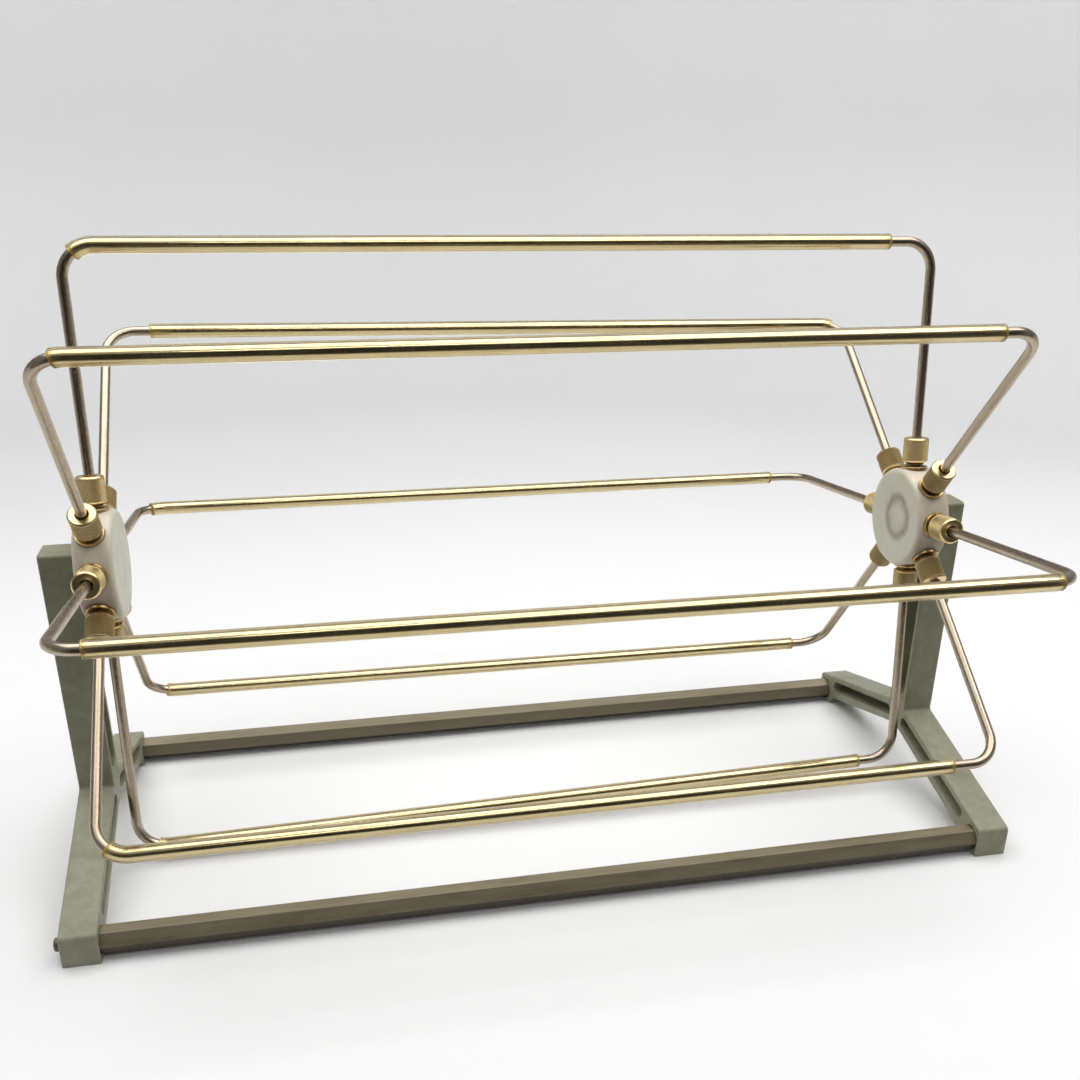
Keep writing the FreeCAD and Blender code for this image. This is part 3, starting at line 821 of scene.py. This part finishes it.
def build_nut():
    """Nut with a diamond knurl and a bore that narrows to a mouth at the top."""
    count = KNURL_TEETH * 4
    lo, hi = NUT_0 + 0.75, NUT_1 - 0.75
    pitch = 2 * math.pi * NUT_R / KNURL_TEETH / math.tan(math.radians(KNURL_ANGLE))
    rows = int(round((hi - lo) / (pitch / 4) / 4)) * 4
    points, mask, faces = [], [], []
    for j in range(rows + 1):
        h = lo + (hi - lo) * j / rows
        fade = max(0.0, min(1.0, (h - lo) / 0.35, (hi - h) / 0.35))
        for k in range(count):
            u, v = k / 4, j / 4
            height = min(1.0, min(triangle(u + v), triangle(u - v)) * 1.18)
            r = NUT_R - KNURL_DEPTH * (1 - height) * fade - 0.02
            a = 2 * math.pi * k / count
            points.append((r * math.cos(a), r * math.sin(a), h))
            mask.append((1 - height) * fade)
    # quads that a ridge or valley crosses are split along it
    for j in range(rows):
        for k in range(count):
            k2 = (k + 1) % count
            a, b = j * count + k, j * count + k2
            c, d = (j + 1) * count + k2, (j + 1) * count + k
            if (k - j) % 4 == 0:
                faces += [(a, b, c), (a, c, d)]
            elif (k + j + 1) % 4 == 0:
                faces += [(a, b, d), (b, c, d)]
            else:
                faces.append((a, b, c, d))
    knurl_faces = len(faces)
    rings = [  # (radius, height, mask) from the knurl over the top, through the bore and round
        (NUT_R - 0.03, hi + 0.06, 0.1), (NUT_R - 0.10, hi + 0.20, 0.0),
        (NUT_R - 0.62, NUT_1 - 0.10, 0.0), (NUT_R - 0.80, NUT_1, 0.0),
        (NUT_R - 1.6, NUT_1 - 0.015, 0.0), (NUT_MOUTH + 0.36, NUT_1, 0.0),
        (NUT_MOUTH + 0.10, NUT_1 - 0.10, 0.15), (NUT_MOUTH, NUT_1 - 0.36, 0.4),
        (NUT_MOUTH, NUT_SHOULDER + 0.05, 0.9), (NUT_MOUTH + 0.08, NUT_SHOULDER, 0.9),
        (NUT_BORE, NUT_SHOULDER, 0.9), (NUT_BORE, NUT_0 + 0.5, 0.9),
        (NUT_BORE + 0.5, NUT_0, 0.6), (NUT_R - 0.80, NUT_0, 0.15),
        (NUT_R - 0.62, NUT_0 + 0.10, 0.0), (NUT_R - 0.10, lo - 0.20, 0.0),
        (NUT_R - 0.03, lo - 0.06, 0.1)]
    ring_points, ring_masks = join_rows(plain_rows(rings, count))
    points += ring_points
    mask += ring_masks
    faces += grid_faces(len(rings) + 1, count, offset=rows * count)
    last = (rows + len(rings)) * count
    for k in range(count):
        k2 = (k + 1) % count
        faces.append((last + k, last + k2, k2, k))
    return make_mesh("nut", points, faces, sharp_deg=28, mask=mask, flat_count=knurl_faces)


def build_clamp_body():
    """Shank in the hub, a flange on its rim and a threaded neck inside the nut."""
    count, bore = 40, CLAMP_BORE
    shank = [  # (radius, height, mask)
        (bore, 13.0, 0.3), (3.6, 13.0, 0.3), (4.0, 13.4, 0.3), (4.0, 24.6, 0.3), (4.0, 25.0, 0.4),
        (6.20, 25.0, 0.9), (6.47, 25.04, 0.8), (6.59, 25.16, 0.6), (6.60, 25.5, 0.3),
        (6.60, 26.15, 0.0), (6.55, 26.38, 0.0), (6.40, 26.55, 0.0), (6.15, 26.60, 0.1),
        (5.3, 26.60, 0.35), (4.35, 26.60, 0.8), (4.12, 26.72, 0.9), (4.10, 27.0, 0.8),
        (4.10, 27.5, 0.7)]
    top_and_bore = [(4.0, 37.0, 0.5), (3.13, 37.0, 0.6), (bore, 36.1, 0.8), (bore, 30.0, 0.8),
                    (bore, 20.0, 0.8)]
    thread = thread_rows(count, 27.8, 36.3, radius=4.58, depth=0.42, pitch=1.0, per_pitch=6,
                         start_fade=0.5, end_fade=0.5)
    rows = plain_rows(shank, count) + thread + plain_rows(top_and_bore, count)
    points, mask = join_rows(rows)
    faces = grid_faces(len(rows), count, close_rows=True)
    return make_mesh("clamp_body", points, faces, sharp_deg=32, mask=mask)


def build_grip_ring():
    """A ring with a soft, nearly square section."""
    count, steps = 40, 20
    z0, z1, inner, outer = 37.05, 38.55, CLAMP_BORE, 4.5
    rings = []
    for k in range(steps):
        a = 2 * math.pi * k / steps
        c, s = math.cos(a), math.sin(a)
        square = (abs(c) ** 4 + abs(s) ** 4) ** -0.25
        rings.append(((inner + outer) / 2 + (outer - inner) / 2 * c * square * 0.995,
                      (z0 + z1) / 2 + (z1 - z0) / 2 * s * square * 0.995, 0.2))
    points, mask = join_rows(plain_rows(rings, count))
    faces = grid_faces(steps, count, close_rows=True)
    return make_mesh("grip_ring", points, faces, sharp_deg=60, mask=mask)


nut_mesh, clamp_mesh, ring_mesh = build_nut(), build_clamp_body(), build_grip_ring()
for side, name in ((-1, "left"), (1, "right")):
    for arm in ARMS:
        own_nut, own_ring = "%s_nut_%d" % (name, arm), "%s_ring_%d" % (name, arm)
        # name, mesh, material, body, slot, node, share of the spin, seed
        for kind, mesh, material, body, slot, node, turn, seed in (
                ("nut", nut_mesh, "nut", own_nut, "nut_brass", own_nut, 1.0, 5),
                ("clamp_body", clamp_mesh, "clamp", "reel", "clamp_brass",
                 name + "_clamp_bodies", 1.7, 8),
                ("grip_ring", ring_mesh, "ring", own_ring, "grip_ring",
                 "%s_grip_ring_%d" % (name, arm), 2.3, 11)):
            spin = 2 * math.pi * spread(arm, side + 2) * turn
            add_piece("%s_%s_%d" % (kind, name, arm), mesh, MATERIALS[material], body, node,
                      seed=round(spread(arm, side + seed), 4),
                      matrix=arm_matrix(arm, side * LEG_PLANE, spin))


# ------------------------------------------------------------------------- hubs
def build_hub():
    """Right hub, turned about the reel axis, with a stepped seat for every clamp body."""
    profile = round_profile([  # (radius, x) and the rounding of some corners
        (0.0, HUB_IN + 0.10), (6.0, HUB_IN + 0.07), (12.0, HUB_IN + 0.02), (18.0, HUB_IN),
        (22.0, HUB_IN), (HUB_R, HUB_IN, 2.2), (HUB_R, 198.5), (HUB_R, 208.0),
        (HUB_R, HUB_OUT, 1.8), (16.0, HUB_OUT), (9.0, HUB_OUT), (4.45, HUB_OUT),
        (PIN_HOLE_R, HUB_OUT - 0.4), (PIN_HOLE_R, 204.0), (PIN_HOLE_R, 198.7), (3.8, 198.5),
        (0.0, 198.5)], steps=6)
    seat = [  # (radius, distance from the reel axis)
        (0.0, 11.0), (2.53, 11.0), (2.53, 12.9), (4.02, 12.9), (4.02, 24.95), (6.66, 25.0),
        (6.70, 25.10), (6.74, 25.22), (6.90, 25.6), (7.3, 27.0), (0.0, 27.0)]
    points, faces = lathe(profile, 160)
    base = make_mesh("hub_base", [(z, x, y + AXIS_H) for x, y, z in points], faces)
    tools = []
    for arm in ARMS:
        tool = make_mesh("hub_tool", *lathe(seat, 56))
        tool.transform(arm_matrix(arm, LEG_PLANE))
        tools.append(tool)
    return carve(base, tools, flow_origin=(LEG_PLANE, 0, AXIS_H), sharp_deg=32)


right_hub = build_hub()
for name, mesh, seed in (("right", right_hub, 0.21), ("left", mirrored(right_hub), 0.64)):
    add_piece("hub_" + name, mesh, MATERIALS["hub"], body="reel",
              node=name + "_hub", seed=seed)


# ----------------------------------------------------------------------- stands
def fillet_outline(corners, inset):
    """A closed counter-clockwise outline moved inwards; every corner is (y, z, radius).
    Sides along the table stay where they are, and every inset gives the same point count."""
    arc_step = 0.9
    count = len(corners)
    plain = [np.array(p[:2], float) for p in corners]
    moved = []
    for k in range(count):
        before, corner, after = plain[k - 1], plain[k], plain[(k + 1) % count]
        a, b = unit(corner - before), unit(after - corner)
        normals = np.array([(-a[1], a[0]), (-b[1], b[0])])
        shifts = [0.0 if abs(p[1]) + abs(q[1]) < 1e-6 else inset
                  for p, q in ((before, corner), (corner, after))]
        moved.append(corner + np.linalg.solve(normals, np.array(shifts)))
    out = []
    for k in range(count):
        before, corner, after = moved[k - 1], moved[k], moved[(k + 1) % count]
        a, b = before - corner, after - corner
        radius = corners[k][2]
        convex = a[0] * b[1] - a[1] * b[0] < 0
        inset_radius = max(0.06, radius - inset) if convex else radius + inset
        centre, start, _, sweep = round_corner(before, corner, after, inset_radius)
        out += arc_points(centre, start, sweep, max(4, int(abs(sweep) * radius / arc_step)))
    return out


def stadium(end_a, end_b, radius):
    """Outline of a slot with round ends centred on two (y, z) points."""
    steps = 14
    a, b = np.array(end_a, float), np.array(end_b, float)
    along = unit(b - a)
    base = math.atan2(along[1], along[0])
    points = []
    for centre, start in ((b, base - math.pi / 2), (a, base + math.pi / 2)):
        for k in range(steps + 1):
            w = start + math.pi * k / steps
            points.append(centre + radius * np.array([math.cos(w), math.sin(w)]))
    return points


def pocket(end_a, end_b, radius, depth, floor_round):
    """Pocket tool with a rounded mouth, a little draft and a rounded floor."""
    mouth, draft, steps = 0.45, 0.18, 4
    layers = [(STAND_IN - 1.0, radius + mouth)]
    angles = [math.pi / 2 * k / steps for k in range(steps + 1)]
    layers += [(STAND_IN + mouth * (1 - math.cos(a)), radius + mouth * (1 - math.sin(a)))
               for a in angles]
    layers += [(STAND_IN + depth - floor_round * (1 - math.sin(a)),
                radius - draft - floor_round * (1 - math.cos(a))) for a in angles]
    return loft([(x, stadium(end_a, end_b, r)) for x, r in layers])


def drill(y, z, radius, x0, x1):
    """Round hole tool along X."""
    outline = [np.array([y + radius * math.cos(a), z + radius * math.sin(a)])
               for a in np.linspace(0, 2 * math.pi, 41)[:-1]]
    return loft([(x0, outline), (x1, outline)])


def build_stand():
    """Right stand: an upright on an arched foot, with pockets in its inner face."""
    apex_z, slope = 27.7, 0.295         # underside of the arch: height at the middle, fall per mm
    arch_flat_y, foot_y = 6.0, 80.0     # half width of the arch's flat top, inner side of the foot
    half = [  # (y, z, corner radius) of the back half, from the top down and along the arch
        (8.4, 161.2, 2.1), (8.4, 39.6, 2.0), (94.6, 15.2, 2.6), (94.6, 0.0, 0.35),
        (foot_y, 0.0, 0.35), (foot_y - 2.0, apex_z - slope * (foot_y - 2.0), 3.0),
        (arch_flat_y, apex_z - slope * arch_flat_y, 8.0)]
    corners = (half + [(-y, z, r) for y, z, r in reversed(half)])[::-1]
    edge, steps = 0.95, 5               # rounding of the edges of both faces
    layers = []
    for k in range(steps + 1):
        a = math.pi / 2 * (1 - k / steps)
        layers.append((STAND_IN + edge - edge * math.sin(a),
                       fillet_outline(corners, edge - edge * math.cos(a))))
    for k in range(steps + 1):
        a = math.pi / 2 * k / steps
        layers.append((STAND_OUT - edge + edge * math.sin(a),
                       fillet_outline(corners, edge - edge * math.cos(a))))
    tools = [pocket((0, 52.0), (0, 127.5), radius=5.5, depth=11.0, floor_round=1.0)]
    for s in (-1, 1):
        tools += [
            pocket((s * 9.6, 32.0), (s * 73.6, 14.4), radius=3.2, depth=11.0, floor_round=0.8),
            drill(s * BAR_Y, BAR_Z, 6.5, STAND_IN - 1, STAND_IN + SOCKET_DEPTH),    # bar socket
            drill(s * BAR_Y, BAR_Z, 2.15, STAND_IN + 1, STAND_OUT + 1)]             # screw hole
    tools.append(drill(0.0, AXIS_H, PIN_HOLE_R, STAND_IN - 1, STAND_OUT + 1))
    return carve(loft(layers), tools, flow_origin=(0, 0, 0), sharp_deg=30)


right_stand = build_stand()
for name, mesh, seed in (("right", right_stand, 0.37), ("left", mirrored(right_stand), 0.83)):
    weight_normals(add_piece("stand_" + name, mesh, MATERIALS["stand"], body="frame",
                             node=name + "_stand", seed=seed))


# --------------------------------------------------------------------- tie bars
def hex_outline(across_flats, spin):
    """Hexagon with slightly rounded corners, turned by spin."""
    rounding, steps = 0.40, 4
    reach = across_flats / math.sqrt(3) - rounding / math.cos(math.radians(30))
    turn = np.array([[math.cos(spin), -math.sin(spin)], [math.sin(spin), math.cos(spin)]])
    points = []
    for k in range(6):
        a = math.radians(60 * k)
        for j in range(steps + 1):
            w = a + math.radians(-30 + 60 * j / steps)
            points.append(turn @ np.array([reach * math.cos(a) + rounding * math.cos(w),
                                           reach * math.sin(a) + rounding * math.sin(w)]))
    return points


def build_bar(y, spin_deg):
    """Hexagonal bar along X with a chamfer and a blind screw hole at each end."""
    end, chamfer, hole_depth, hole_r, sections = STAND_IN + SOCKET_DEPTH, 0.4, 13.0, 2.03, 36
    spin = math.radians(spin_deg)
    full, small = hex_outline(11.11, spin), hex_outline(10.4, spin)
    angles = [math.atan2(p[1], p[0]) for p in full]
    hole = [np.array([hole_r * math.cos(a), hole_r * math.sin(a)]) for a in angles]
    layers = ([(-end + hole_depth, hole), (-end, hole), (-end, small)]
              + [((-end + chamfer) + (2 * end - 2 * chamfer) * k / sections, full)
                 for k in range(sections + 1)]
              + [(end, small), (end, hole), (end - hole_depth, hole)])
    centre = np.array([y, BAR_Z])
    placed = [(x, [centre + p for p in outline]) for x, outline in layers]
    return loft(placed, name="bar", sharp_deg=32)


for name, y, spin_deg, seed in (("front", -BAR_Y, 0.0, 0.12), ("rear", BAR_Y, 20.0, 0.71)):
    weight_normals(add_piece("tie_bar_%s_hex" % name, build_bar(y, spin_deg), MATERIALS["bar"],
                             body="frame", node=name + "_tie_bar", seed=seed))


# ----------------------------------------------------------------------- screws
def build_screw():
    """Cap screw along local +Z: the head sits on z = 0 and rises to 3.2 mm."""
    count = 30 * 4      # four points for each ridge of the head

    def ridged(radius, height, depth, mask):
        points, masks = [], []
        for k in range(count):
            valley = triangle(k / 4)
            r = radius - depth * valley
            a = 2 * math.pi * k / count
            points.append((r * math.cos(a), r * math.sin(a), height))
            masks.append(mask + (0.6 * valley if depth else 0))
        return points, masks

    def hexed(across_flats, height, mask):
        points = []
        for k in range(count):
            a = 2 * math.pi * k / count
            from_flat = (a + math.pi / 6) % (math.pi / 3) - math.pi / 6
            r = across_flats / 2 / math.cos(from_flat)
            points.append((r * math.cos(a), r * math.sin(a), height))
        return points, [mask] * count

    # plain rings are (radius, height, mask)
    rows = plain_rows([(1.45, -24.0, 0.3), (1.95, -23.5, 0.3)], count)
    rows += thread_rows(count, -23.3, -6.0, radius=1.97, depth=0.26, pitch=0.7, per_pitch=5,
                        start_fade=0.3, end_fade=0.5)
    rows += plain_rows([(2.0, -5.6, 0.2), (2.0, -0.15, 0.3), (2.15, 0.0, 0.5), (2.9, 0.0, 0.4)],
                       count)
    # ridged sides of the head: radius, height, ridge depth, mask
    rows += [ridged(*ring) for ring in (
        (3.02, 0.06, 0.0, 0.2), (3.1, 0.25, 0.02, 0.1), (3.1, 0.4, 0.10, 0.1),
        (3.1, 1.9, 0.10, 0.1), (3.1, 2.1, 0.03, 0.0))]
    rows += plain_rows([(3.09, 2.25, 0.0), (3.02, 2.6, 0.0), (2.80, 2.92, 0.0), (2.48, 3.12, 0.0),
                        (2.1, 3.2, 0.0), (1.75, 3.2, 0.0), (1.62, 3.17, 0.2)], count)
    # hexagon socket: across flats, height, mask
    rows += [hexed(*ring) for ring in ((2.5, 3.0, 0.5), (2.5, 1.8, 0.9), (2.2, 1.6, 0.9))]
    points, mask = join_rows(rows)
    faces = grid_faces(len(rows), count)
    tip, socket_floor = len(points), len(points) + 1
    points += [(0, 0, -24.0), (0, 0, 1.5)]
    mask += [0.3, 0.9]
    last = (len(rows) - 1) * count
    for k in range(count):
        k2 = (k + 1) % count
        faces.append((tip, k2, k))
        faces.append((last + k, last + k2, socket_floor))
    return make_mesh("screw", points, faces, sharp_deg=34, mask=mask)


screw_mesh = build_screw()
for side, side_name in ((-1, "left"), (1, "right")):
    for y, y_name in ((-BAR_Y, "front"), (BAR_Y, "rear")):
        matrix = (Matrix.Translation((side * STAND_OUT * MM, y * MM, BAR_Z * MM))
                  @ Matrix.Rotation(side * math.pi / 2, 4, "Y")
                  @ Matrix.Rotation(0.6 * spread(side, y), 4, "Z"))
        add_piece("screw_%s_%s" % (y_name, side_name), screw_mesh, MATERIALS["screw"],
                  body="frame", node="tie_bar_screws",
                  seed=round(spread(side + 3, y), 4), matrix=matrix)


# ------------------------------------------------------------- axle pins, washers
def build_pin():
    """Along local +Z from the reel's middle plane; the outer end is just below the stand's face."""
    end = STAND_OUT - 0.3
    profile = [  # (radius, height)
        (0.0, 199.1), (3.4, 199.1), (4.0, 199.7), (4.0, 212.0), (4.0, 220.0), (4.0, end - 0.6),
        (3.85, end - 0.3), (3.4, end), (1.6, end - 0.02), (1.25, end - 0.35), (0.0, end - 1.1)]
    return make_mesh("pin", *lathe(profile, 64), sharp_deg=34)


def build_washer():
    """Washer 1 mm thick, midway between hub and stand."""
    base = HUB_OUT + (STAND_IN - HUB_OUT - 1.0) / 2
    inner, outer = PIN_HOLE_R, 7.5
    profile = round_profile([  # (radius, height) and the rounding of the corners
        (inner, base + 0.5), (inner, base, 0.12), (5.5, base), (outer, base, 0.16),
        (outer, base + 0.5), (outer, base + 1.0, 0.16), (5.5, base + 1.0),
        (inner, base + 1.0, 0.12), (inner, base + 0.55)], steps=3)
    return make_mesh("washer", *lathe(profile, 64, closed=True), sharp_deg=40)


pin_mesh, washer_mesh = build_pin(), build_washer()
for side, name in ((-1, "left"), (1, "right")):
    matrix = (Matrix.Translation((0, 0, AXIS_H * MM))
              @ Matrix.Rotation(side * math.pi / 2, 4, "Y"))
    add_piece("axle_pin_" + name, pin_mesh, MATERIALS["pin"], body="frame",
              node="axle_pins", seed=0.3 + 0.2 * side, matrix=matrix)
    add_piece("thrust_washer_" + name, washer_mesh, MATERIALS["washer"], body="frame",
              node="thrust_washers", seed=0.6 + 0.2 * side, matrix=matrix)


# ------------------------------------------------------------------------ studio (m)
FRONT_Y = -0.46     # the sheet in front of this is seen by the camera only


def build_sweep(name, front):
    """The front or the rest of a floor that runs up into a wall all round."""
    floor_r, curve_r, top, count = 1.02, 0.36, 2.2, 120
    wall_r = floor_r + curve_r
    profile = [(r, 0.0) for r in np.linspace(0.0, floor_r, 12)[1:]]
    profile += [(floor_r + curve_r * math.sin(a), curve_r * (1 - math.cos(a)))
                for a in np.linspace(0, math.pi / 2, 14)[1:]]
    profile += [(wall_r, z) for z in np.linspace(curve_r, top, 5)[1:]]
    points = [(0.0, 0.0, 0.0)] + [p for r, z in profile for p in circle(count, r, z)]
    faces = [(0, 1 + k, 1 + (k + 1) % count) for k in range(count)]
    faces += grid_faces(len(profile), count, offset=1, flip=True)
    kept = [f for f in faces if (sum(points[v][1] for v in f) / len(f) <= FRONT_Y) == front]
    used = sorted({v for f in kept for v in f})
    index = {v: k for k, v in enumerate(used)}
    mesh = bpy.data.meshes.new(name)
    mesh.from_pydata([points[v] for v in used], [], [tuple(index[v] for v in f) for f in kept])
    mesh.polygons.foreach_set("use_smooth", [True] * len(mesh.polygons))
    mesh.materials.append(MATERIALS["paper"])
    ob = bpy.data.objects.new(name, mesh)
    scene.collection.objects.link(ob)
    if front:
        for ray in ("glossy", "diffuse", "transmission", "shadow"):
            setattr(ob, "visible_" + ray, False)
    return ob


build_sweep("studio_sweep", front=False)
build_sweep("studio_sweep_front", front=True)


def add_area_light(name, location, target, size, power, colour):
    light = bpy.data.lights.new(name, "AREA")
    light.shape = "RECTANGLE"
    light.size, light.size_y = size
    light.energy = power
    light.color = colour
    ob = bpy.data.objects.new(name, light)
    scene.collection.objects.link(ob)
    ob.location = location
    ob.rotation_mode = "QUATERNION"
    ob.rotation_quaternion = (Vector(target) - Vector(location)).to_track_quat("-Z", "Y")
    ob.visible_camera = False


add_area_light("top_softbox", location=(0.0, 0.22, 1.25), target=(0.0, 0.22, 0.0),
               size=(2.1, 1.30), power=18.5, colour=(1.0, 0.997, 0.988))
add_area_light("front_strip", location=(0.42, -0.50, 1.02), target=(0.12, 0.05, 0.12),
               size=(1.5, 0.09), power=2.6, colour=(1.0, 0.99, 0.98))
add_area_light("back_wall_light", location=(0.0, 0.45, 1.25), target=(0.0, 1.38, 0.55),
               size=(1.6, 0.4), power=1.2, colour=(0.99, 0.995, 1.0))


def build_world():
    """Plain pale grey to the camera; to other rays grey, dark in front and brighter overhead."""
    scene.world = bpy.data.worlds.new("studio_world")
    n = Nodes(scene.world)
    _, y, z = n.split(n.add("TexCoord").outputs["Generated"])
    front = n.fade(y, over=(-0.45, -0.85), curve="SMOOTHSTEP")
    overhead = n.fade(z, over=(0.45, 0.85), curve="SMOOTHSTEP")
    sky = n.tint((0.26, 0.266, 0.268), (0.020, 0.019, 0.017), front)
    sky = n.tint(sky, (0.40, 0.40, 0.40), overhead)
    lit = n.add("Background", {0: sky})
    seen = n.add("Background", {0: (0.80, 0.81, 0.82)})
    camera_ray = n.add("LightPath").outputs["Is Camera Ray"]
    both = n.add("MixShader", {0: camera_ray, 1: lit.outputs[0], 2: seen.outputs[0]})
    n.add("OutputWorld", {0: both.outputs[0]})


build_world()


# ------------------------------------------------------------------------ camera
def add_camera():
    """In front and to the left, looking down at the reel."""
    place = (-0.1056, -0.5229, 0.3373)
    # yaw is from +Y towards +X, pitch is downwards
    yaw, pitch, roll = (math.radians(a) for a in (11.83, 24.47, 0.50))
    forward = Vector((math.sin(yaw) * math.cos(pitch), math.cos(yaw) * math.cos(pitch),
                      -math.sin(pitch)))
    level = Vector((math.cos(yaw), -math.sin(yaw), 0.0))
    upright = level.cross(forward)
    right = level * math.cos(roll) + upright * math.sin(roll)
    up = upright * math.cos(roll) - level * math.sin(roll)
    data = bpy.data.cameras.new("camera")
    data.sensor_width = 36.0
    data.lens = 37.863
    data.shift_x, data.shift_y = 0.0001, 0.0974
    data.clip_start, data.clip_end = 0.01, 50.0
    camera = bpy.data.objects.new("camera", data)
    scene.collection.objects.link(camera)
    rows = [(right[k], up[k], -forward[k], place[k]) for k in range(3)]
    camera.matrix_world = Matrix((*rows, (0, 0, 0, 1)))
    scene.camera = camera


add_camera()

view = scene.view_settings
view.view_transform = "Standard"
view.look = "None"
view.exposure = 0.0
